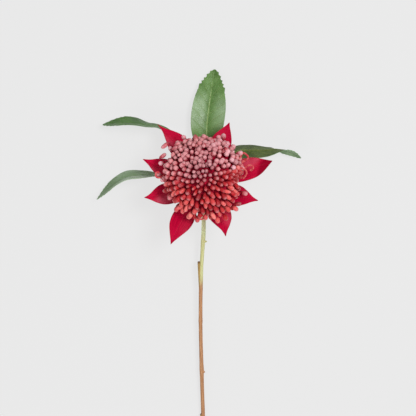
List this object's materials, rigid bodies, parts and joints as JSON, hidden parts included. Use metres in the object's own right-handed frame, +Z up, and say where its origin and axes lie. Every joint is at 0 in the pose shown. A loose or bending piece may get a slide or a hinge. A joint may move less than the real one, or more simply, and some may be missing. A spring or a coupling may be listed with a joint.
{
  "type": "waratah stem",
  "caption": "Cut waratah stem lying flat, with a domed head of bud-like florets, a star of pointed bracts, and toothed leaves below it.",
  "frame": {"origin": "on the surface the stem lies on, under the middle of the whole piece", "axes": "+Y along the stem towards the flower head, +Z up from the surface, the flower head faces up"},
  "size_m": [0.2489, 0.4776, 0.117],
  "materials": {
    "stem": "smooth green to brown bark",
    "florets": "soft matte coral with pale dusty tips",
    "bracts": "satin crimson",
    "leaves": "waxy mid green"
  },
  "bodies": {
    "root": {"stem": "stem", "flower_head": "florets", "bract_1": "bracts", "bract_2": "bracts", "bract_3": "bracts", "bract_4": "bracts", "bract_5": "bracts", "bract_6": "bracts", "bract_7": "bracts", "bract_8": "bracts", "leaf_top": "leaves", "leaf_upper_left": "leaves", "leaf_left": "leaves", "leaf_right": "leaves"}
  },
  "joints": []
}
